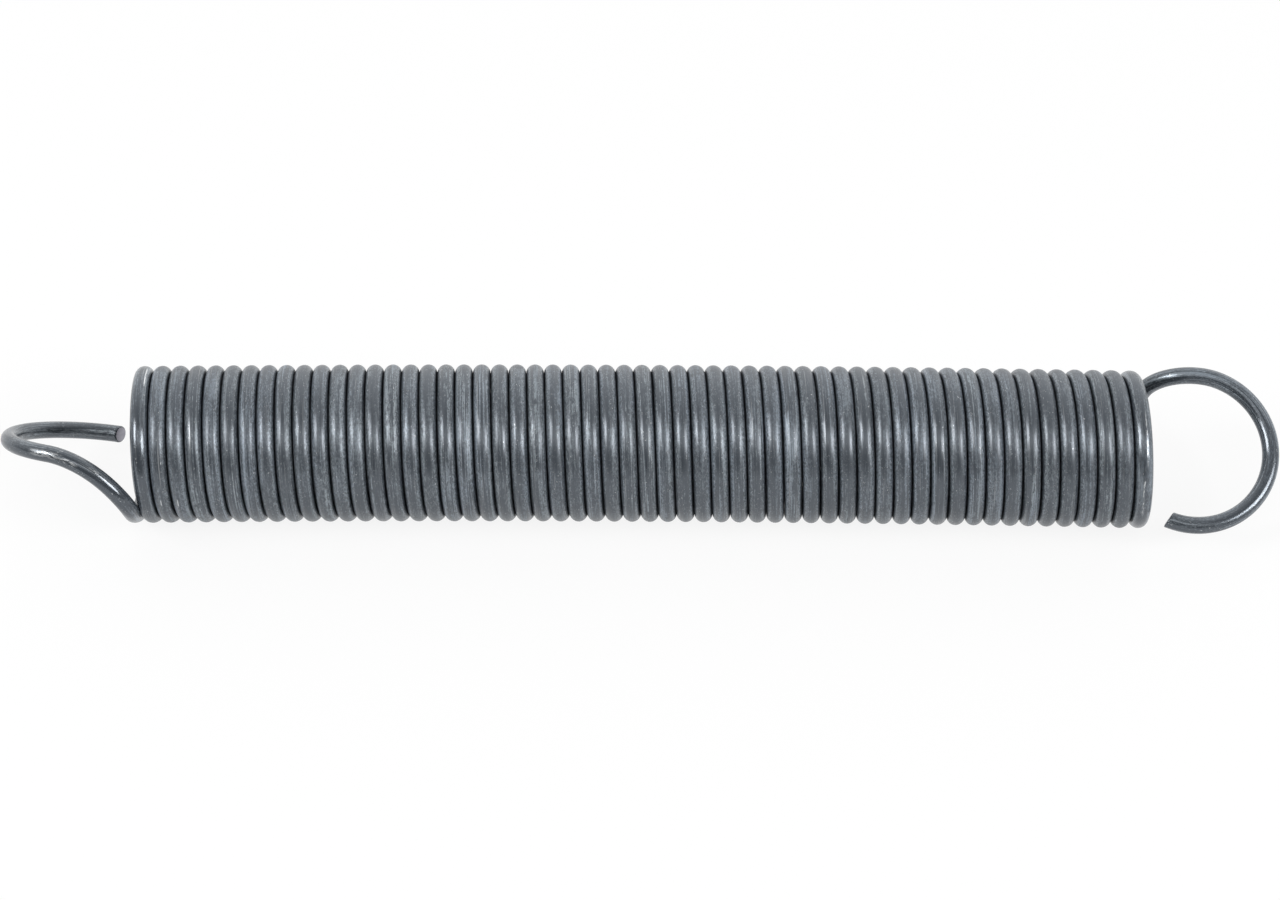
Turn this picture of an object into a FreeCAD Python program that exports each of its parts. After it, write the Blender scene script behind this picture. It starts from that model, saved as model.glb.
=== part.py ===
"""Extension spring: one length of round steel wire, wound close into a long right-hand coil,
with a full loop bent out of each end for hooking on.

Frame, in millimetres: X runs along the coil, Z is up and the origin is on the coil's axis at
mid-length. The spring lies on its coils, as it comes to rest on a bench. Its two loops stand
a quarter turn apart, one leaning each way from the vertical, and half a turn about Z carries
the right-hand end of the coil onto the left-hand one.
"""
import FreeCAD, Part
import math
import os

# Wire and coil
WIRE_DIAMETER = 4.0
COIL_MEAN_DIAMETER = 32.9
COIL_PITCH = 4.2
COIL_TURNS = 56.25
# Where the wire is at mid-length, counted about the axis from +Y: at its lowest
MID_LENGTH_ANGLE = -90.0

# End loops, measured on the wire's centre line
LOOP_MEAN_DIAMETER = 36.5
# Centre of each loop, beyond the point where the wire leaves the coil
LOOP_STANDOFF = 11.7
# Angles round a loop count from its far crown, positive towards the side where its wire starts
LOOP_START_ANGLE = 69.0
RIGHT_FREE_END_ANGLE = -112.5
LEFT_FREE_END_ANGLE = -105.0
# How far each loop leans out of the plane through the coil's axis, and swings within it
RIGHT_LEAN_ANGLE = 15.0
RIGHT_SWING_ANGLE = 4.0
LEFT_LEAN_ANGLE = 9.5
LEFT_SWING_ANGLE = -5.5

# Between coil and loop the wire climbs over two points. Seen along the loop's axis each lies
# an inset inside the loop's round, and it is set in from the coil's centre line by a depth.
SHOULDER_ANGLE = 128.5
SHOULDER_INSET = 1.25
SHOULDER_DEPTH = 2.9
CLIMB_ANGLE = 110.0
CLIMB_INSET = 0.45
CLIMB_DEPTH = 7.85

# The two ends are cropped askew, longer on the outside of the loop, and their edges broken.
# The wire is drawn past each crop by an allowance, for the crop to take away.
CROP_SLANT_ANGLE = 15.0
CROP_ALLOWANCE = 1.0
END_EDGE_RADIUS = 0.3

COIL_RADIUS = COIL_MEAN_DIAMETER / 2
COIL_LENGTH = COIL_PITCH * COIL_TURNS
LOOP_RADIUS = LOOP_MEAN_DIAMETER / 2
WIRE_RADIUS = WIRE_DIAMETER / 2

CENTRE = FreeCAD.Vector(0, 0, 0)
ALONG = FreeCAD.Vector(1, 0, 0)
UP = FreeCAD.Vector(0, 0, 1)


def coil_angle(x):
    """Angle of the wire about the axis at x, in degrees from +Y towards +Z."""
    return MID_LENGTH_ANGLE + 360.0 * x / COIL_PITCH


def off_axis(angle):
    """Unit vector away from the axis at an angle in degrees, from +Y towards +Z."""
    turned = math.radians(angle)
    return FreeCAD.Vector(0, math.cos(turned), math.sin(turned))


def coil_edges():
    """The coil's centre line, one edge per turn, from the left end of the coil to the right."""
    whole_turns = math.floor(COIL_TURNS)
    turns = [1.0] * whole_turns
    if COIL_TURNS > whole_turns:
        turns.append(COIL_TURNS - whole_turns)
    edges = []
    for index, turn in enumerate(turns):
        helix = Part.makeHelix(COIL_PITCH, COIL_PITCH * turn, COIL_RADIUS)
        # It is wound about Z from +X. This turns Z onto X and +X onto +Y.
        helix.rotate(CENTRE, FreeCAD.Vector(1, 1, 1), 120)
        helix.rotate(CENTRE, ALONG, coil_angle(-COIL_LENGTH / 2))
        helix.translate(ALONG * (COIL_PITCH * index - COIL_LENGTH / 2))
        edges += helix.Edges
    return edges


class Hook:
    """Climb, loop and cropped end of the wire, drawn at the coil's right-hand end."""

    def __init__(self, lean, swing, free_end):
        """Sets the loop's own axes from its lean and swing. All three angles are in degrees."""
        root_angle = coil_angle(COIL_LENGTH / 2)
        self.inwards = off_axis(root_angle) * -1
        self.onwards = off_axis(root_angle + 90)
        self.centre = ALONG * (COIL_LENGTH / 2 + LOOP_STANDOFF)
        leant = math.radians(lean)
        swung = math.radians(swing)
        across = ALONG * math.sin(swung) + self.inwards * math.cos(swung)
        self.crown = ALONG * math.cos(swung) - self.inwards * math.sin(swung)
        self.side = self.onwards * math.cos(leant) - across * math.sin(leant)
        self.free_end = free_end

    def spoke(self, angle):
        """Unit vector from the loop's centre towards its wire, at an angle in degrees."""
        turned = math.radians(angle)
        return self.crown * math.cos(turned) + self.side * math.sin(turned)

    def on_loop(self, angle):
        """Point of the loop's centre line at an angle in degrees."""
        return self.centre + self.spoke(angle) * LOOP_RADIUS

    def on_climb(self, angle, inset, depth):
        """Point that the wire passes over between the coil and the loop."""
        turned = math.radians(angle)
        spoke = ALONG * math.cos(turned) + self.onwards * math.sin(turned)
        return self.centre + spoke * (LOOP_RADIUS - inset) - self.inwards * (COIL_RADIUS - depth)

    def climb_edge(self):
        """Centre line of the wire from the end of the coil to the start of the loop."""
        points = [
            ALONG * (COIL_LENGTH / 2) - self.inwards * COIL_RADIUS,
            self.on_climb(SHOULDER_ANGLE, SHOULDER_INSET, SHOULDER_DEPTH),
            self.on_climb(CLIMB_ANGLE, CLIMB_INSET, CLIMB_DEPTH),
            self.on_loop(LOOP_START_ANGLE),
        ]
        travelled = [0.0]
        for before, after in zip(points, points[1:]):
            travelled.append(travelled[-1] + before.distanceToPoint(after))
        leaving_coil = self.onwards * (2 * math.pi * COIL_RADIUS) + ALONG * COIL_PITCH
        climb = Part.BSplineCurve()
        climb.interpolate(
            Points=points,
            Parameters=travelled,
            InitialTangent=leaving_coil.normalize(),
            FinalTangent=self.spoke(LOOP_START_ANGLE - 90),
            Scale=False,
        )
        return climb.toShape()

    def loop_edge(self):
        """Centre line of the loop, drawn past the crop by its allowance."""
        last = self.free_end - math.degrees(CROP_ALLOWANCE / LOOP_RADIUS)
        halfway = (LOOP_START_ANGLE + last) / 2
        ends = self.on_loop(LOOP_START_ANGLE), self.on_loop(halfway), self.on_loop(last)
        return Part.Arc(*ends).toShape()

    def offcut(self):
        """Short bar, wider than the wire, that fills the space beyond the cropped end."""
        outwards = self.spoke(self.free_end)
        onwards = self.spoke(self.free_end - 90)
        slant = math.radians(CROP_SLANT_ANGLE)
        removed = onwards * math.cos(slant) - outwards * math.sin(slant)
        rim = Part.makeCircle(1.5 * WIRE_RADIUS, self.on_loop(self.free_end), removed)
        return Part.Face(Part.Wire(rim)).extrude(removed * WIRE_RADIUS)


def spring():
    """The whole spring, one solid swept along the wire, then cropped and edged at both ends."""
    right_hook = Hook(RIGHT_LEAN_ANGLE, RIGHT_SWING_ANGLE, RIGHT_FREE_END_ANGLE)
    left_hook = Hook(LEFT_LEAN_ANGLE, LEFT_SWING_ANGLE, LEFT_FREE_END_ANGLE)
    left_shapes = [left_hook.loop_edge(), left_hook.climb_edge(), left_hook.offcut()]
    for shape in left_shapes:
        shape.rotate(CENTRE, UP, 180)
    left_loop, left_climb, left_offcut = left_shapes
    right_loop = right_hook.loop_edge()
    path = Part.Wire([left_loop, left_climb] + coil_edges() + [right_hook.climb_edge(), right_loop])

    start = right_loop.ParameterRange[1]
    section = Part.makeCircle(WIRE_RADIUS, right_loop.valueAt(start), right_loop.tangentAt(start))
    wire = path.makePipeShell([Part.Wire(section)], True, False)
    wire = wire.cut(right_hook.offcut()).cut(left_offcut)
    rims = []
    for face in wire.Faces:
        if isinstance(face.Surface, Part.Plane):
            rims += face.Edges
    return wire.makeFillet(END_EDGE_RADIUS, rims).Solids[0]


def main():
    """Build the spring, print its size and write it out."""
    body = spring()
    box = body.BoundBox
    print(f"{body.Volume:.0f} mm3, {box.XLength:.2f} x {box.YLength:.2f} x {box.ZLength:.2f} mm")
    os.makedirs("parts", exist_ok=True)
    body.exportStep("parts/extension_spring.step")


main()
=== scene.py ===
"""Extension spring: its dressed wire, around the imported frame.

One round wire is wound close into a coil along X, with a full loop bent out of each end. The
wire is made again here as one tube, because the marks on it run along the wire. All lengths
are in metres, in the row's frame: X runs along the coil and Z is up.
"""

import logging
import math
from dataclasses import dataclass, field
from enum import Enum

import bpy
import numpy as np
from mathutils import Matrix, Vector


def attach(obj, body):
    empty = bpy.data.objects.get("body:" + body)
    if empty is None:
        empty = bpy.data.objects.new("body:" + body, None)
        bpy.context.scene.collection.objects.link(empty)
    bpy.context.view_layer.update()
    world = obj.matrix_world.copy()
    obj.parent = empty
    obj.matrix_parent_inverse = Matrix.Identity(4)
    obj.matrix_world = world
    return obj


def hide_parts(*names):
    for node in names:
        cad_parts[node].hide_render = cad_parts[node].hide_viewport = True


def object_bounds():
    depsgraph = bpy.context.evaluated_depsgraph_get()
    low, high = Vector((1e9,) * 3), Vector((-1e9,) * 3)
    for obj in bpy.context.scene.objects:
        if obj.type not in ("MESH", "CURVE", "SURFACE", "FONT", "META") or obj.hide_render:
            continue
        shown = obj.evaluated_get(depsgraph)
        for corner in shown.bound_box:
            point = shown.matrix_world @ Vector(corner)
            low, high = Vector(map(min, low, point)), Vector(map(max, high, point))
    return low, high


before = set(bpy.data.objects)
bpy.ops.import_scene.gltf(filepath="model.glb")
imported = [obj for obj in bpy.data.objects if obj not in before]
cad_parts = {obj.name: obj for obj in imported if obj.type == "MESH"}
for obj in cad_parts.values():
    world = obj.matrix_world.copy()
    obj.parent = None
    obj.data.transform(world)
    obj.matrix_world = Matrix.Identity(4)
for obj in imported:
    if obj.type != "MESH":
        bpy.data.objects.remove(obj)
CAD_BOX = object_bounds()
MM = 0.001
LOG = logging.getLogger("extension_spring")

ALONG = np.array([1.0, 0.0, 0.0])
WIRE_RADIUS = 2.0 * MM
# The attribute that holds each point's place on the straight wire, before it was wound
WIRE_MAP = "straight_wire"

Colour = tuple[float, float, float, float]
Span = tuple[float, float]
Socket = bpy.types.NodeSocket


class Side(Enum):
    """The two ends of the coil. The value is the end's sign along X."""

    LEFT = -1
    RIGHT = 1


def unit(vector: np.ndarray) -> np.ndarray:
    """The vector, or each row of vectors, at a length of one."""
    return vector / np.linalg.norm(vector, axis=-1, keepdims=True)


def off_axis(angle: float) -> np.ndarray:
    """Unit vector away from the coil's axis, at an angle in radians from +Y towards +Z."""
    return np.array([0.0, math.cos(angle), math.sin(angle)])


@dataclass(frozen=True)
class Winding:
    """The coil's turns. They lie a little further apart towards the right-hand end, and the
    middle of the coil bows back. The turns close up, so the wire fills the pitch between them.
    """

    radius: float = 16.37 * MM
    turns: float = 56.25
    left_pitch: float = 4.148 * MM
    middle_pitch: float = 4.188 * MM
    right_pitch: float = 4.302 * MM
    shift: float = -1.48 * MM
    bow: float = 1.25 * MM
    filled: float = 0.4985
    easing_turns: float = 0.4
    points_per_turn: int = 60

    def angle(self, share: float) -> float:
        """Angle of the wire about the axis, in radians from +Y, at a share of the half length."""
        return -math.pi / 2 + math.pi * self.turns * share

    def along(self, share: float) -> float:
        """Place of the wire along X.

        Args:
            share: share of the coil's half length, from -1 to 1.

        Returns:
            The place, found by adding up the pitch from the middle of the coil.
        """
        slope = (self.right_pitch - self.left_pitch) / 2
        curve = (self.right_pitch + self.left_pitch) / 2 - self.middle_pitch
        travel = self.middle_pitch * share + slope * share ** 2 / 2 + curve * share ** 3 / 3
        return self.shift + travel * self.turns / 2

    def shares(self) -> np.ndarray:
        """Share of the half length at each point of the coil's centre line, from -1 to 1."""
        return np.linspace(-1, 1, round(self.turns * self.points_per_turn) + 1)

    def wire_radii(self, end_radius: float) -> np.ndarray:
        """Radius of the wire at each point of the coil, easing to its radius in the hooks.

        Args:
            end_radius: radius of the wire where it leaves the coil.

        Returns:
            The radii, from the coil's left-hand end to its right.
        """
        places = np.array([self.along(share) for share in self.shares()])
        spacing = np.gradient(places) * self.points_per_turn
        turns_from_end = (1 - np.abs(self.shares())) * self.turns / 2
        eased = np.clip(turns_from_end / self.easing_turns, 0, 1)
        return end_radius + (spacing * self.filled - end_radius) * eased

    def centre_line(self) -> np.ndarray:
        """The coil's centre line.

        Returns:
            Its points, one row each, from the coil's left-hand end to its right.
        """
        back = np.array([0.0, self.bow, 0.0])
        return np.array([
            ALONG * self.along(share) + off_axis(self.angle(share)) * self.radius + back * (1 - share ** 2)
            for share in self.shares()
        ])


@dataclass
class Hook:
    """One end of the spring: the wire's climb off the coil, and the loop that it closes into.

    Angles are in degrees. The shoulder and the climb are the two points that the wire passes
    over on its way: an angle round the loop, an inset from the loop's round, and a depth below
    the coil's.
    """

    side: Side
    lean: float
    swing: float
    free_end: float
    loop_radius: float = 18.25 * MM
    loop_centre: float = 129.8 * MM
    loop_start: float = 69.0
    shoulder: tuple[float, float, float] = (128.5, 1.25 * MM, 2.9 * MM)
    climb: tuple[float, float, float] = (110.0, 0.45 * MM, 7.85 * MM)
    step: float = 1.1 * MM

    def centre_line(self, winding: Winding) -> np.ndarray:
        """Points of the wire's centre line, from just past the coil to the free end.

        Args:
            winding: the coil that it leaves.

        Returns:
            The points, one row each, turned half round about Z for the left-hand end.
        """
        sign = self.side.value
        root = winding.angle(1.0)
        reach = sign * winding.along(sign)
        pitch = winding.right_pitch if self.side is Side.RIGHT else winding.left_pitch
        inwards = -off_axis(root)
        onwards = off_axis(root + math.pi / 2)
        centre = ALONG * self.loop_centre
        lean, swing = math.radians(self.lean), math.radians(self.swing)
        crown = ALONG * math.cos(swing) - inwards * math.sin(swing)
        across = ALONG * math.sin(swing) + inwards * math.cos(swing)
        side = onwards * math.cos(lean) - across * math.sin(lean)

        def on_loop(angle: float) -> np.ndarray:
            """Point of the loop at an angle in radians."""
            return centre + (crown * math.cos(angle) + side * math.sin(angle)) * self.loop_radius

        def on_climb(angle: float, inset: float, depth: float) -> np.ndarray:
            """Point that the wire passes over between the coil and the loop.

            Args:
                angle: degrees round the loop.
                inset: how far inside the loop's round it lies.
                depth: how far inside the coil's centre line it lies.

            Returns:
                The point.
            """
            turned = math.radians(angle)
            spoke = ALONG * math.cos(turned) + onwards * math.sin(turned)
            return centre + spoke * (self.loop_radius - inset) - inwards * (winding.radius - depth)

        first, last = math.radians(self.loop_start), math.radians(self.free_end)
        knots = np.array([
            ALONG * reach - inwards * winding.radius,
            on_climb(*self.shoulder),
            on_climb(*self.climb),
            on_loop(first),
        ])
        leaving = unit(onwards * 2 * math.pi * winding.radius + ALONG * pitch)
        joining = crown * math.sin(first) - side * math.cos(first)
        count = math.ceil((first - last) * self.loop_radius / self.step)
        angles = np.linspace(first, last, count + 1)[1:]
        points = np.vstack([
            clamped_cubic(knots, leaving, joining, self.step),
            np.array([on_loop(angle) for angle in angles]),
        ])
        return points * np.array([sign, sign, 1.0])


def clamped_cubic(knots: np.ndarray, start: np.ndarray, end: np.ndarray, step: float) -> np.ndarray:
    """Points of the smoothest cubic through four knots, with its directions given at both ends.

    Args:
        knots: the four points that it passes through.
        start: unit direction at the first knot.
        end: unit direction at the last knot.
        step: the most that two points lie apart.

    Returns:
        The points after the first knot, up to the last one.
    """
    spans = np.linalg.norm(np.diff(knots, axis=0), axis=1)
    slopes = np.diff(knots, axis=0) / spans[:, None]
    balance = np.array([
        [2 * (spans[0] + spans[1]), spans[0]],
        [spans[2], 2 * (spans[1] + spans[2])],
    ])
    pull = np.array([
        3 * (spans[1] * slopes[0] + spans[0] * slopes[1]) - spans[1] * start,
        3 * (spans[2] * slopes[1] + spans[1] * slopes[2]) - spans[1] * end,
    ])
    middle = np.linalg.solve(balance, pull)
    tangents = np.vstack([start, middle, end])
    points = []
    for index, span in enumerate(spans):
        shares = np.linspace(0, 1, math.ceil(span / step) + 1)[1:, None]
        squared, cubed = shares ** 2, shares ** 3
        points.append(
            (2 * cubed - 3 * squared + 1) * knots[index]
            + (cubed - 2 * squared + shares) * span * tangents[index]
            + (3 * squared - 2 * cubed) * knots[index + 1]
            + (cubed - squared) * span * tangents[index + 1]
        )
    return np.vstack(points)


@dataclass
class NodeSheet:
    """A node tree, with short calls that add nodes and join them.

    A value given to a call is a number, a colour, or the output of a node made before.
    """

    tree: bpy.types.NodeTree

    def add(self, kind: str, **settings: object) -> bpy.types.Node:
        """Adds a node.

        Args:
            kind: the node's type.
            settings: the node's properties, by name.

        Returns:
            The node.
        """
        node = self.tree.nodes.new(kind)
        for name, value in settings.items():
            setattr(node, name, value)
        return node

    def put(self, socket: Socket, value: object) -> None:
        """Joins an input to an output, or sets it to a value.

        Args:
            socket: the input.
            value: the output or the value.
        """
        if isinstance(value, Socket):
            self.tree.links.new(value, socket)
        else:
            socket.default_value = value

    def show(self, shader: Socket, kind: str = "ShaderNodeOutputMaterial") -> None:
        """Makes a shader what the finished tree shows."""
        self.put(self.add(kind).inputs["Surface"], shader)

    def straight_wire(self) -> Socket:
        """Place on the straight wire: x along it, y away from the coil's axis, z sideways."""
        return self.add("ShaderNodeAttribute", attribute_name=WIRE_MAP).outputs["Vector"]

    def parts(self, vector: Socket) -> tuple[Socket, ...]:
        """The x, y and z of a vector.

        Args:
            vector: the output to take apart.

        Returns:
            The three parts.
        """
        node = self.add("ShaderNodeSeparateXYZ")
        self.put(node.inputs["Vector"], vector)
        return tuple(node.outputs)

    def maths(
        self, operation: str, first: object, second: object = 0.0, clamp: bool = False
    ) -> Socket:
        """One sum.

        Args:
            operation: what is done, by the Math node's name for it.
            first: the first value.
            second: the second value, where the sum has one.
            clamp: whether the result is kept between 0 and 1.

        Returns:
            The result.
        """
        node = self.add("ShaderNodeMath", operation=operation, use_clamp=clamp)
        self.put(node.inputs[0], first)
        self.put(node.inputs[1], second)
        return node.outputs[0]

    def remap(
        self, value: object, low: float, high: float, bottom: float = 0.0, top: float = 1.0
    ) -> Socket:
        """A value taken smoothly from one range to another, and kept within it.

        Args:
            value: the value.
            low: where its own range starts.
            high: where its own range ends.
            bottom: what it becomes at or below low.
            top: what it becomes at or above high.

        Returns:
            The new value.
        """
        node = self.add("ShaderNodeMapRange", interpolation_type="SMOOTHSTEP")
        self.put(node.inputs["Value"], value)
        self.put(node.inputs["From Min"], low)
        self.put(node.inputs["From Max"], high)
        self.put(node.inputs["To Min"], bottom)
        self.put(node.inputs["To Max"], top)
        return node.outputs["Result"]

    def blend(self, share: object, first: object, second: object) -> Socket:
        """A colour between two colours.

        Args:
            share: how far it is from the first to the second, from 0 to 1.
            first: the first colour.
            second: the second colour.

        Returns:
            The colour.
        """
        node = self.add("ShaderNodeMix", data_type="RGBA", clamp_factor=True)
        self.put(node.inputs[0], share)
        self.put(node.inputs[6], first)
        self.put(node.inputs[7], second)
        return node.outputs[2]

    def raised(self, height: Socket, depth: float) -> Socket:
        """Normals of a surface that a height raises.

        Args:
            height: the height, as a share of the depth.
            depth: how far a height of one stands up.

        Returns:
            The normals.
        """
        node = self.add("ShaderNodeBump")
        self.put(node.inputs["Distance"], depth)
        self.put(node.inputs["Height"], height)
        return node.outputs["Normal"]


def blank_material(name: str) -> tuple[bpy.types.Material, NodeSheet]:
    """A new material with no nodes.

    Args:
        name: its name.

    Returns:
        The material and its empty node tree.
    """
    made = bpy.data.materials.new(name)
    made.use_nodes = True
    made.node_tree.nodes.clear()
    return made, NodeSheet(made.node_tree)


@dataclass(frozen=True)
class Pattern:
    """Noise laid along the wire: how long and how wide its marks are, and how far they change
    the tone. Detail and roughness are the noise's own.
    """

    length: float
    width: float
    strength: float = 1.0
    detail: float = 2.0
    roughness: float = 0.5

    def laid(self, sheet: NodeSheet, wire: Socket) -> Socket:
        """The pattern on the wire.

        Args:
            sheet: the material's nodes.
            wire: place on the straight wire.

        Returns:
            The noise from 0 to 1, about 0.5.
        """
        spread = sheet.add("ShaderNodeVectorMath", operation="MULTIPLY")
        sheet.put(spread.inputs[0], wire)
        sheet.put(spread.inputs[1], (1 / self.length, 1 / self.width, 1 / self.width))
        noise = sheet.add("ShaderNodeTexNoise")
        sheet.put(noise.inputs["Vector"], spread.outputs["Vector"])
        sheet.put(noise.inputs["Scale"], 1.0)
        sheet.put(noise.inputs["Detail"], self.detail)
        sheet.put(noise.inputs["Roughness"], self.roughness)
        return noise.outputs["Fac"]


@dataclass(frozen=True)
class Flecks:
    """Scattered marks, wherever a pattern passes a threshold."""

    pattern: Pattern
    above: float
    soft: float = 0.04

    def laid(self, sheet: NodeSheet, wire: Socket) -> Socket:
        """The marks on the wire.

        Args:
            sheet: the material's nodes.
            wire: place on the straight wire.

        Returns:
            Nought off the marks, and the pattern's strength on them.
        """
        noise = self.pattern.laid(sheet, wire)
        low, high = self.above - self.soft, self.above + self.soft
        return sheet.remap(noise, low, high, 0.0, self.pattern.strength)


@dataclass(frozen=True)
class Mark:
    """A scuff or scratch at one place on the wire, as a soft-edged patch that noise breaks up.

    It lies so far along the wire from the left-hand free end, and at an angle in degrees round
    it from the side that faces away from the coil's axis. Strength is how bare its metal is, and
    noise below the broken level leaves the skin whole.
    """

    along: float
    around: float
    length: float
    width: float
    strength: float = 0.8
    broken: float = 0.5
    soft: float = 0.06

    def faded(self, sheet: NodeSheet, offset: Socket, size: float) -> Socket:
        """Soft edge of the patch, one way.

        Args:
            sheet: the material's nodes.
            offset: how far a point lies from the middle of the patch, on either side.
            size: how long or wide the patch is.

        Returns:
            1 in the patch's inner half, falling to nought at its edge.
        """
        return sheet.remap(sheet.maths("ABSOLUTE", offset), size / 4, size / 2, 1.0, 0.0)

    def laid(self, sheet: NodeSheet, wire: Socket, torn: Socket) -> Socket:
        """The mark on the wire.

        Args:
            sheet: the material's nodes.
            wire: place on the straight wire.
            torn: the noise that breaks it up.

        Returns:
            Share of bare metal that it leaves.
        """
        along, outwards, sideways = sheet.parts(wire)
        turned = math.radians(self.around)
        cosine, sine = math.cos(turned), math.sin(turned)
        towards = sheet.maths(
            "ADD", sheet.maths("MULTIPLY", outwards, cosine), sheet.maths("MULTIPLY", sideways, sine)
        )
        aside = sheet.maths(
            "ADD", sheet.maths("MULTIPLY", outwards, -sine), sheet.maths("MULTIPLY", sideways, cosine)
        )
        worn = sheet.remap(torn, self.broken - self.soft, self.broken + self.soft, 0.0, self.strength)
        for share in (
            self.faded(sheet, sheet.maths("SUBTRACT", along, self.along), self.length),
            self.faded(sheet, aside, self.width),
            sheet.maths("GREATER_THAN", towards, 0.0),
        ):
            worn = sheet.maths("MULTIPLY", worn, share)
        return worn


@dataclass(frozen=True)
class DrawnSteel:
    """Cold-drawn spring wire: dark grey, with drawing lines along it and a dull, smudged skin.

    The crown is the band of skin that faces straight out from the coil, and its tone is painted darker, as
    painted shade.
    The grooves between the turns are painted near black, as painted shade. The hooks and the end turns are
    smoother.
    """

    name: str = "drawn_spring_steel"
    dark: Colour = (0.070, 0.082, 0.097, 1.0)
    cool: Colour = (0.238, 0.278, 0.322, 1.0)
    warm: Colour = (0.246, 0.281, 0.306, 1.0)
    # Near-black colour painted into the grooves between turns, as painted shade
    painted_groove_colour: Colour = (0.0, 0.003, 0.008, 1.0)
    bright: Colour = (0.70, 0.72, 0.73, 1.0)
    metallic: float = 0.5
    shine: float = 1.0
    roughness: float = 0.37
    line_roughness: float = 0.2
    line_depth: float = 0.015 * MM
    middle_tone: float = 0.5
    # Painted shade: how much darker the crown's tone is painted
    crown: Span = (0.72, 1.0)
    crown_shade: float = 0.42
    # How far the skin must face out before the painted groove shade fades, and how dark that painted shade
    # gets
    lit: Span = (0.22, 0.85)
    groove_shade: float = 0.68
    hook_reach: Span = (-8 * MM, 8 * MM)
    hook_shade: float = 0.38
    hook_gloss: float = 0.03
    end_reach: Span = (-120 * MM, -90 * MM)
    end_gloss: float = 0.12
    tints: Pattern = Pattern(40 * MM, 5 * MM)
    tint_range: Span = (0.35, 0.65)
    tones: tuple[Pattern, ...] = (
        Pattern(70 * MM, 30 * MM, 1.0),
        Pattern(16 * MM, 2.2 * MM, 1.4),
    )
    lines: tuple[Pattern, ...] = (
        Pattern(24 * MM, 0.6 * MM, 1.4),
        Pattern(14 * MM, 0.24 * MM, 1.7),
    )
    drawn: Pattern = Pattern(85 * MM, 12 * MM)
    drawn_range: Span = (0.38, 0.62)
    drawn_share: Span = (0.4, 1.9)
    grain: Pattern = Pattern(0.6 * MM, 0.32 * MM, 5.4, 2.0, 0.7)
    smooth_grain: float = 1.8
    smudges: Flecks = Flecks(Pattern(3.4 * MM, 1.4 * MM, 0.8, 6.0, 0.8), 0.59, 0.05)
    pits: Flecks = Flecks(Pattern(1.8 * MM, 0.5 * MM, 1.3, 3.0, 0.75), 0.55, 0.03)
    pitted: Flecks = Flecks(Pattern(40 * MM, 6 * MM), 0.57, 0.04)
    scratches: Flecks = Flecks(Pattern(18 * MM, 0.15 * MM, 0.35), 0.70)
    specks: Flecks = Flecks(Pattern(0.5 * MM, 0.35 * MM, 0.7, 2.0, 0.7), 0.70, 0.03)
    torn: Pattern = Pattern(MM / 0.7, MM / 2.6, 1.0, 3.0, 0.6)
    marks: tuple[Mark, ...] = (
        Mark(56 * MM, -36, 9 * MM, 2.0 * MM, 0.5, 0.49),
        Mark(61 * MM, -30, 6 * MM, 1.4 * MM, 0.6, 0.49),
        Mark(67 * MM, -66, 3 * MM, 0.8 * MM, 0.5),
        Mark(151 * MM, -29, 10 * MM, 0.4 * MM, 0.9, 0.38),
        Mark(285.5 * MM, 4, 2 * MM, 0.3 * MM, 0.7, 0.3),
        Mark(388.5 * MM, 12, 2.5 * MM, 0.3 * MM, 0.7, 0.3),
        Mark(5826 * MM, -17, 14 * MM, 0.4 * MM, 0.5),
        Mark(5838 * MM, 1, 14 * MM, 0.7 * MM, 0.6, 0.54),
    )

    def facing_out(self, sheet: NodeSheet, wire: Socket, low: float, high: float) -> Socket:
        """How far the skin faces away from the coil's axis.

        Args:
            sheet: the material's nodes.
            wire: place on the straight wire.
            low: share of facing straight out at which the result leaves 0.
            high: share of it at which the result reaches 1.

        Returns:
            The result, from 0 to 1.
        """
        _, outwards, _ = sheet.parts(wire)
        return sheet.remap(outwards, low * WIRE_RADIUS, high * WIRE_RADIUS)

    def ends(self, sheet: NodeSheet, wire: Socket, coil: Span) -> tuple[Socket, Socket]:
        """Where the hooks and the end turns are.

        Args:
            sheet: the material's nodes.
            wire: place on the straight wire.
            coil: where along the wire the coil starts and ends.

        Returns:
            How far each place belongs to a hook, and to a hook or an end turn, from 0 to 1.
        """
        along, _, _ = sheet.parts(wire)
        middle, half = (coil[0] + coil[1]) / 2, (coil[1] - coil[0]) / 2
        from_middle = sheet.maths("ABSOLUTE", sheet.maths("SUBTRACT", along, middle))
        hook, end_turn = (
            sheet.remap(from_middle, half + start, half + stop)
            for start, stop in (self.hook_reach, self.end_reach)
        )
        return hook, end_turn

    def drawn_skin(self, sheet: NodeSheet, wire: Socket) -> tuple[Socket, Socket]:
        """The slow changes of tone along the wire and the drawing lines on it.

        Args:
            sheet: the material's nodes.
            wire: place on the straight wire.

        Returns:
            How high the skin stands, about nought, and its tone from dark to pale.
        """
        height, tone = 0.0, self.middle_tone
        drawn = sheet.remap(self.drawn.laid(sheet, wire), *self.drawn_range, *self.drawn_share)
        for pattern in self.tones + self.lines:
            noise = sheet.maths("SUBTRACT", pattern.laid(sheet, wire), 0.5)
            if pattern in self.lines:
                noise = sheet.maths("MULTIPLY", noise, drawn)
            height = sheet.maths("ADD", noise, height)
            tone = sheet.maths("ADD", sheet.maths("MULTIPLY", noise, pattern.strength), tone)
        return height, tone

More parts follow.
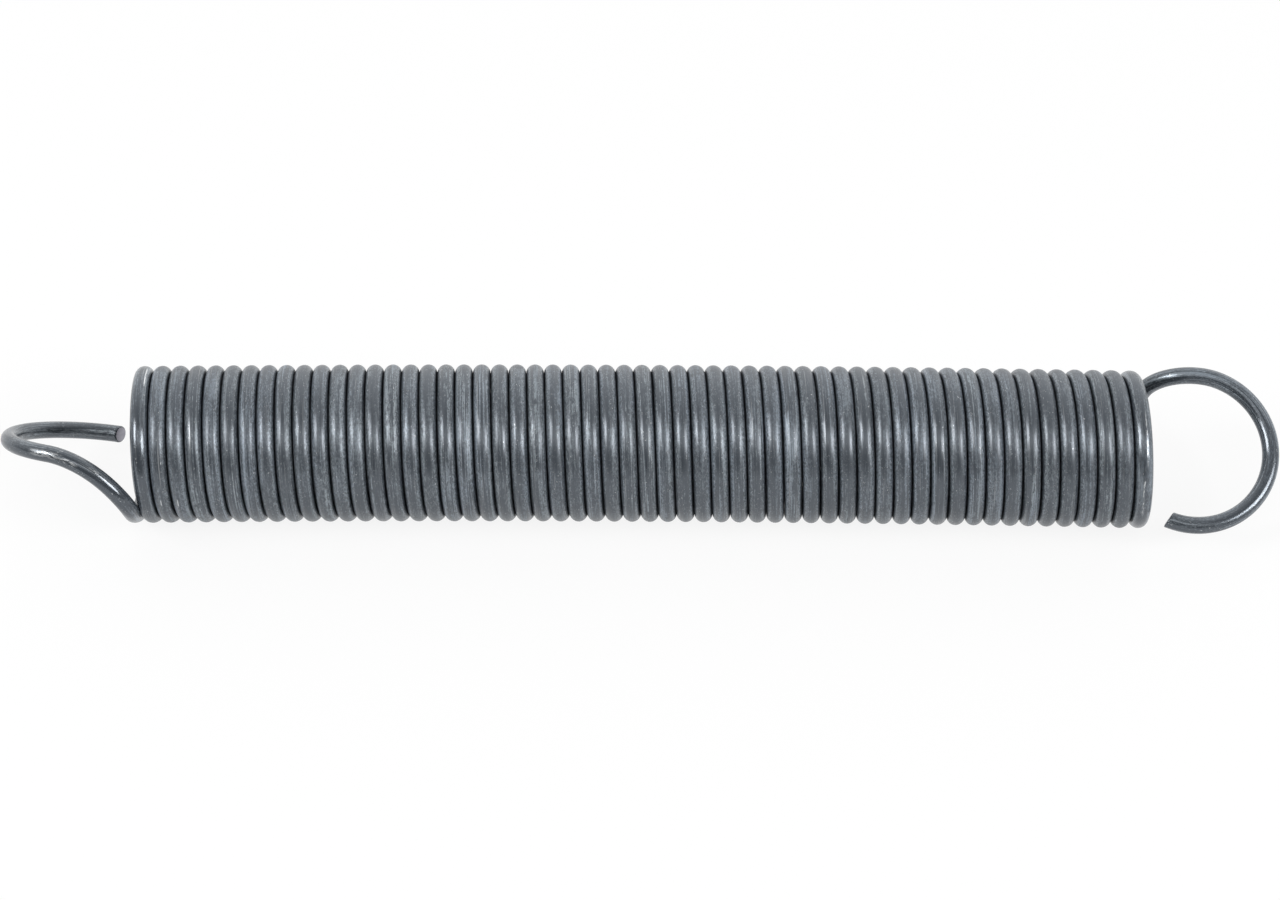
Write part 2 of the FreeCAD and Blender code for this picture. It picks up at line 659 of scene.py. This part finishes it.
    def roughened(self, sheet: NodeSheet, wire: Socket, tone: Socket, smooth: Socket) -> Socket:
        """A tone with the skin's grain, smudges and pits added.

        Args:
            sheet: the material's nodes.
            wire: place on the straight wire.
            tone: the tone without them.
            smooth: how far the skin is worn smooth, where the grain is weaker.

        Returns:
            The tone, from 0 for dark to 1 for pale.
        """
        speckle = sheet.maths("SUBTRACT", self.grain.laid(sheet, wire), 0.5)
        strength = sheet.remap(smooth, 0.0, 1.0, self.grain.strength, self.smooth_grain)
        tone = sheet.maths("ADD", tone, sheet.maths("MULTIPLY", speckle, strength))
        tone = sheet.maths("SUBTRACT", tone, self.smudges.laid(sheet, wire))
        pits = sheet.maths("MULTIPLY", self.pits.laid(sheet, wire), self.pitted.laid(sheet, wire))
        return sheet.maths("SUBTRACT", tone, pits, clamp=True)

    def bared(self, sheet: NodeSheet, wire: Socket) -> Socket:
        """Where bright metal shows through.

        Args:
            sheet: the material's nodes.
            wire: place on the straight wire.

        Returns:
            Share of bare metal, from its specks, its scratches and its single marks.
        """
        bare = sheet.maths("MAXIMUM", self.specks.laid(sheet, wire), self.scratches.laid(sheet, wire))
        torn = self.torn.laid(sheet, wire)
        for mark in self.marks:
            bare = sheet.maths("MAXIMUM", bare, mark.laid(sheet, wire, torn))
        return bare

    def material(self, coil: Span) -> bpy.types.Material:
        """The finish, in the wire's own coordinates.

        Args:
            coil: where along the wire the coil starts and ends.

        Returns:
            The material.
        """
        made, sheet = blank_material(self.name)
        wire = sheet.straight_wire()
        crown = self.facing_out(sheet, wire, *self.crown)
        hook, end_turn = self.ends(sheet, wire, coil)

        height, tone = self.drawn_skin(sheet, wire)
        # The crown gets painted shade; the hooks get a darker tone of their own
        for place, shade in ((crown, self.crown_shade), (hook, self.hook_shade)):
            tone = sheet.maths("SUBTRACT", tone, sheet.maths("MULTIPLY", place, shade))
        tone = self.roughened(sheet, wire, tone, sheet.maths("MAXIMUM", crown, end_turn))

        tint = sheet.remap(self.tints.laid(sheet, wire), *self.tint_range)
        colour = sheet.blend(tone, self.dark, sheet.blend(tint, self.cool, self.warm))
        colour = sheet.blend(self.bared(sheet, wire), colour, self.bright)
        # Painted shade: the colour darkens towards the grooves between turns, but not on the hooks
        lit = sheet.maths("MAXIMUM", self.facing_out(sheet, wire, *self.lit), hook)
        unshaded = sheet.remap(lit, 0.0, 1.0, 1 - self.groove_shade, 1.0)
        colour = sheet.blend(unshaded, self.painted_groove_colour, colour)

        dulled = sheet.maths("ADD", sheet.maths("MULTIPLY", height, self.line_roughness), self.roughness)
        for place, gloss in ((end_turn, self.end_gloss), (hook, self.hook_gloss)):
            dulled = sheet.maths("SUBTRACT", dulled, sheet.maths("MULTIPLY", place, gloss))

        steel = sheet.add("ShaderNodeBsdfPrincipled")
        sheet.put(steel.inputs["Metallic"], self.metallic)
        sheet.put(steel.inputs["Specular IOR Level"], self.shine)
        sheet.put(steel.inputs["Base Color"], colour)
        sheet.put(steel.inputs["Roughness"], dulled)
        sheet.put(steel.inputs["Normal"], sheet.raised(height, self.line_depth))
        sheet.show(steel.outputs["BSDF"])
        return made


@dataclass(frozen=True)
class CroppedSteel:
    """Bare steel of a cropped wire's end face, paler than the drawn skin and slightly torn."""

    name: str = "cropped_end_steel"
    colour: Colour = (0.46, 0.45, 0.50, 1.0)
    shade: Colour = (0.27, 0.265, 0.30, 1.0)
    roughness: float = 0.45
    torn: Pattern = Pattern(2 * MM, MM / 0.9, 1.0, 4.0, 0.6)
    torn_depth: float = 0.05 * MM

    def material(self) -> bpy.types.Material:
        """The finish, in the wire's own coordinates.

        Returns:
            The material.
        """
        made, sheet = blank_material(self.name)
        torn = self.torn.laid(sheet, sheet.straight_wire())
        steel = sheet.add("ShaderNodeBsdfPrincipled")
        sheet.put(steel.inputs["Metallic"], 1.0)
        sheet.put(steel.inputs["Roughness"], self.roughness)
        sheet.put(steel.inputs["Base Color"], sheet.blend(torn, self.shade, self.colour))
        sheet.put(steel.inputs["Normal"], sheet.raised(torn, self.torn_depth))
        sheet.show(steel.outputs["BSDF"])
        return made


@dataclass
class SpringWire:
    """The whole spring: one wire, from the left-hand free end round the coil to the right-hand one."""

    name: str = "spring_wire"
    sides: int = 24
    smooth_under: float = 50.0
    crop_slant: float = 15.0
    end_rounding: float = 0.3 * MM
    rounding_steps: int = 4
    winding: Winding = Winding()
    left_hook: Hook = field(
        default_factory=lambda: Hook(Side.LEFT, lean=9.5, swing=-5.5, free_end=-105.0)
    )
    right_hook: Hook = field(
        default_factory=lambda: Hook(Side.RIGHT, lean=15.0, swing=4.0, free_end=-112.5)
    )

    def centre_line(self) -> tuple[np.ndarray, np.ndarray]:
        """The wire's centre line from its left-hand free end to its right-hand one.

        Returns:
            Its points, one row each, and the wire's radius at each point.
        """
        left = self.left_hook.centre_line(self.winding)
        right = self.right_hook.centre_line(self.winding)
        line = np.vstack([left[::-1], self.winding.centre_line(), right])
        radii = np.full(len(line), WIRE_RADIUS)
        radii[len(left):len(line) - len(right)] = self.winding.wire_radii(WIRE_RADIUS)
        return line, radii

    def stations(self) -> tuple[np.ndarray, np.ndarray]:
        """Places along the wire at which the tube has a ring.

        Returns:
            The rings' centres, one row each, and each ring's radius, which falls off over the
            rounded edge at both free ends.
        """
        line, radii = self.centre_line()
        turned = np.linspace(0, math.pi / 2, self.rounding_steps + 1)
        depths = self.end_rounding * (1 - np.sin(turned))
        rounded = WIRE_RADIUS - self.end_rounding * (1 - np.cos(turned))
        for _ in range(2):
            outwards = unit(line[0] - line[1])
            edge = np.array([line[0] - outwards * depth for depth in depths])
            line = np.vstack([edge[::-1], line[1:]])
            radii = np.concatenate([rounded[::-1], radii[1:]])
            line, radii = line[::-1], radii[::-1]
        return line, radii

    def tube(self, line: np.ndarray, radii: np.ndarray) -> bpy.types.Object:
        """The wire as a closed mesh tube, one ring of vertices after another.

        Args:
            line: the centres of its rings.
            radii: the radius of each ring.

        Returns:
            The tube.
        """
        bpy.ops.curve.primitive_nurbs_path_add()
        wire = bpy.context.object
        wire.name = self.name
        curve = wire.data
        curve.dimensions = "3D"
        curve.splines.clear()
        spline = curve.splines.new("POLY")
        spline.points.add(len(line) - 1)
        spline.points.foreach_set("co", np.column_stack([line, np.ones(len(line))]).ravel())
        spline.points.foreach_set("radius", radii / WIRE_RADIUS)
        curve.bevel_depth = WIRE_RADIUS
        # A round bevel has two sides for each step, and four more
        curve.bevel_resolution = self.sides // 2 - 2
        curve.twist_mode = "MINIMUM"
        bpy.ops.object.convert(target="MESH")
        bpy.ops.object.mode_set(mode="EDIT")
        bpy.ops.mesh.select_all(action="SELECT")
        bpy.ops.mesh.fill_holes(sides=self.sides)
        bpy.ops.mesh.normals_make_consistent(inside=False)
        bpy.ops.object.mode_set(mode="OBJECT")
        bpy.ops.object.shade_smooth_by_angle(angle=math.radians(self.smooth_under))
        return wire

    def crop_askew(self, wire: bpy.types.Object, line: np.ndarray) -> None:
        """Leans both end faces over, so that the wire is longer on the outside of its loop.

        Args:
            wire: the tube.
            line: the centres of its rings.
        """
        slope = math.tan(math.radians(self.crop_slant))
        edge = self.rounding_steps + 1
        # The rings of each rounded edge, the ring at its tip, and one on the wire behind it
        left_end = (range(edge), 0, edge + 1)
        right_end = (range(len(line) - edge, len(line)), -1, -edge - 2)
        for rings, tip, inner in (left_end, right_end):
            beyond = unit(line[tip] - line[inner])
            outwards = unit(2 * line[inner] - line[inner - 1] - line[inner + 1])
            for vertex in wire.data.vertices[rings.start * self.sides:rings.stop * self.sides]:
                spoke = np.array(vertex.co) - line[tip]
                vertex.co += Vector(beyond * slope * spoke.dot(outwards))

    def write_wire_map(self, wire: bpy.types.Object, line: np.ndarray) -> Span:
        """Gives each vertex the place that it had on the straight wire, before it was wound.

        Args:
            wire: the tube.
            line: the centres of its rings.

        Returns:
            How far along the wire the coil starts and ends.
        """
        mesh = wire.data
        places = np.empty(len(mesh.vertices) * 3)
        mesh.vertices.foreach_get("co", places)
        places = places.reshape(-1, 3)
        rings = np.arange(len(places)) // self.sides
        steps = np.linalg.norm(np.diff(line, axis=0), axis=1)
        travelled = np.concatenate([[0.0], np.cumsum(steps)])
        forwards = unit(np.gradient(line, axis=0))
        coil_start, coil_end = self.winding.along(-1), self.winding.along(1)
        on_coil = np.nonzero((line[:, 0] >= coil_start) & (line[:, 0] <= coil_end))[0]
        outwards = self.carried_outwards(line, forwards, on_coil)
        sideways = np.cross(forwards, outwards)
        spokes = places - line[rings]
        straight = np.column_stack([
            travelled[rings] + (spokes * forwards[rings]).sum(1),
            (spokes * outwards[rings]).sum(1),
            (spokes * sideways[rings]).sum(1),
        ])
        layer = mesh.attributes.new(name=WIRE_MAP, type="FLOAT_VECTOR", domain="POINT")
        layer.data.foreach_set("vector", straight.astype(np.float32).ravel())
        return float(travelled[on_coil[0]]), float(travelled[on_coil[-1]])

    def carried_outwards(self, line: np.ndarray, forwards: np.ndarray, on_coil: np.ndarray) -> np.ndarray:
        """For each ring, the side of the wire that faces away from the coil's axis.

        Args:
            line: the centres of the rings.
            forwards: the wire's direction at each.
            on_coil: the numbers of the rings on the coil.

        Returns:
            Unit vectors across the wire. Past the coil's ends each is carried on from the last.
        """
        away = line * np.array([0.0, 1.0, 1.0])
        away = unit(away - (away * forwards).sum(1, keepdims=True) * forwards)
        for start, step in ((on_coil[0], -1), (on_coil[-1], 1)):
            index = start + step
            while 0 <= index < len(line):
                carried = away[index - step]
                carried = carried - carried.dot(forwards[index]) * forwards[index]
                away[index] = unit(carried)
                index += step
        return away

    def build(self, skin: DrawnSteel, cut: CroppedSteel) -> bpy.types.Object:
        """The finished wire, with its two materials.

        Args:
            skin: finish of the drawn wire.
            cut: finish of its two cropped ends.

        Returns:
            The object, whose place is in its mesh.
        """
        line, radii = self.stations()
        wire = self.tube(line, radii)
        self.crop_askew(wire, line)
        coil = self.write_wire_map(wire, line)
        wire.data.materials.clear()
        wire.data.materials.append(skin.material(coil))
        wire.data.materials.append(cut.material())
        tips = (Vector(line[0]), Vector(line[-1]))
        inside = WIRE_RADIUS - self.end_rounding
        # The tube is all quads but for the caps that fill its two ends
        for face in wire.data.polygons:
            at_tip = min((face.center - tip).length for tip in tips) < inside
            face.material_index = int(at_tip and len(face.vertices) != 4)
        return wire


@dataclass
class Bench:
    """The white surface that the spring lies on, which shows its shadow only faintly.

    The camera sees a share of it as plain white. So does metal that mirrors it, and that share
    grows from the strip in front of the spring to the strip right under it.
    """

    name: str = "bench_top"
    size: float = 16.0
    colour: Colour = (0.76, 0.76, 0.76, 1.0)
    whitened: float = 0.88
    in_front: float = -30 * MM
    under: float = -6 * MM
    mirrored_in_front: float = 0.30
    mirrored_under: float = 0.85

    def material(self) -> bpy.types.Material:
        """Matt white.

        Returns:
            The material.
        """
        made, sheet = blank_material("bench_white")
        paint = sheet.add("ShaderNodeBsdfDiffuse")
        sheet.put(paint.inputs["Color"], self.colour)
        white = sheet.add("ShaderNodeEmission")
        path = sheet.add("ShaderNodeLightPath").outputs
        _, depth, _ = sheet.parts(sheet.add("ShaderNodeTexCoord").outputs["Object"])
        share = sheet.remap(
            depth, self.in_front, self.under, self.mirrored_in_front, self.mirrored_under
        )
        mirrored = sheet.maths("MAXIMUM", path["Is Glossy Ray"], path["Is Transmission Ray"])
        mirrored = sheet.maths("MULTIPLY", mirrored, share)
        seen = sheet.maths("MULTIPLY", path["Is Camera Ray"], self.whitened)
        mixed = sheet.add("ShaderNodeMixShader")
        sheet.put(mixed.inputs[0], sheet.maths("MAXIMUM", seen, mirrored))
        sheet.put(mixed.inputs[1], paint.outputs[0])
        sheet.put(mixed.inputs[2], white.outputs[0])
        sheet.show(mixed.outputs[0])
        return made

    def build(self, height: float) -> bpy.types.Object:
        """A large flat surface.

        Args:
            height: how high it lies.

        Returns:
            The surface, whose place is in its mesh.
        """
        bpy.ops.mesh.primitive_plane_add(size=self.size, location=(0.0, 0.0, height))
        bench = bpy.context.object
        bench.name = self.name
        bpy.ops.object.transform_apply(location=True)
        bench.data.materials.append(self.material())
        return bench


@dataclass
class Sight:
    """The camera: where the photograph was taken from, and how it was framed."""

    elevation: float = 45.0
    distance: float = 790.4 * MM
    lens: float = 94.70
    roll: float = -0.005
    aside: float = 0.245 * MM
    above: float = 0.689 * MM
    nearest: float = 0.01
    furthest: float = 50.0

    def __post_init__(self) -> None:
        """Works out the picture's own axes."""
        lifted = math.radians(self.elevation)
        level = Vector((1.0, 0.0, 0.0))
        steep = Vector((0.0, math.sin(lifted), math.cos(lifted)))
        self.back = Vector((0.0, -math.cos(lifted), math.sin(lifted)))
        self.right = level * math.cos(self.roll) - steep * math.sin(self.roll)
        self.up = level * math.sin(self.roll) + steep * math.cos(self.roll)

    def build(self) -> bpy.types.Object:
        """The camera.

        Returns:
            The camera's object, made the scene's own camera.
        """
        view = bpy.data.cameras.new("sight")
        view.lens = self.lens
        view.clip_start = self.nearest
        view.clip_end = self.furthest
        camera = bpy.data.objects.new("sight", view)
        bpy.context.collection.objects.link(camera)
        place = self.back * self.distance - self.right * self.aside - self.up * self.above
        camera.matrix_world = Matrix((self.right, self.up, self.back)).transposed().to_4x4()
        camera.matrix_world.translation = place
        bpy.context.scene.camera = camera
        return camera


@dataclass(frozen=True)
class Softbox:
    """A soft rectangular lamp, aimed at the middle of the spring.

    Bearing is its angle to the right of the line of sight and height its angle above it, both
    in degrees.
    """

    name: str
    bearing: float
    height: float
    width: float
    tall: float
    radiance: float
    distance: float = 3.5

    def build(self, sight: Sight) -> bpy.types.Object:
        """The lamp.

        Args:
            sight: the line of sight that it is placed by.

        Returns:
            The lamp's object.
        """
        bearing, height = math.radians(self.bearing), math.radians(self.height)
        towards = sight.back * math.cos(bearing) * math.cos(height)
        towards += sight.right * math.sin(bearing) * math.cos(height)
        towards += sight.up * math.sin(height)
        lamp = bpy.data.lights.new(self.name, "AREA")
        lamp.shape = "RECTANGLE"
        lamp.size = self.width
        lamp.size_y = self.tall
        lamp.energy = self.radiance * math.pi * self.width * self.tall
        placed = bpy.data.objects.new(self.name, lamp)
        bpy.context.collection.objects.link(placed)
        across = sight.up.cross(towards).normalized()
        upwards = towards.cross(across)
        placed.matrix_world = Matrix((across, upwards, towards)).transposed().to_4x4()
        placed.matrix_world.translation = towards * self.distance
        return placed


@dataclass(frozen=True)
class Surroundings:
    """Plain pale room light, dim in front and brightest behind the spring and to its right."""

    front: float = 0.02
    behind: float = 1.66
    right: float = 0.22

    def build(self) -> bpy.types.World:
        """The room light, by direction.

        Returns:
            The world, made the scene's own.
        """
        world = bpy.data.worlds.new("room")
        world.use_nodes = True
        bpy.context.scene.world = world
        world.node_tree.nodes.clear()
        sheet = NodeSheet(world.node_tree)
        rightwards, backwards, _ = sheet.parts(sheet.add("ShaderNodeTexCoord").outputs["Generated"])
        strength = self.front
        for direction, added in ((backwards, self.behind), (rightwards, self.right)):
            share = sheet.maths("POWER", sheet.remap(direction, -1.0, 1.0), 2.0)
            strength = sheet.maths("ADD", sheet.maths("MULTIPLY", share, added), strength)
        glow = sheet.add("ShaderNodeBackground")
        sheet.put(glow.inputs["Strength"], strength)
        sheet.show(glow.outputs[0], "ShaderNodeOutputWorld")
        return world


def main() -> None:
    """Builds the spring, its bench, lights and camera, and sets how the render shows them."""
    logging.basicConfig(level=logging.INFO, format="%(message)s")
    scene = bpy.context.scene
    scene.view_settings.view_transform = "Standard"
    bpy.ops.object.select_all(action="DESELECT")

    wire = SpringWire().build(DrawnSteel(), CroppedSteel())
    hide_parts("extension_spring")
    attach(wire, "root")
    LOG.info("%s: %d faces", wire.name, len(wire.data.polygons))

    sight = Sight()
    sight.build()
    Surroundings().build()
    for box in (
        Softbox("left_softbox", bearing=-50, height=13.4, width=1.4, tall=1.4, radiance=12.8),
        Softbox("right_softbox", bearing=46, height=5.4, width=1.68, tall=1.4, radiance=10.0),
        Softbox("middle_fill", bearing=-2, height=9.0, width=2.8, tall=1.4, radiance=1.5),
    ):
        box.build(sight)

    bench = Bench().build(height=CAD_BOX[0][2])
    LOG.info("%s at %.4f m", bench.name, CAD_BOX[0][2])


if __name__ == "__main__":
    main()
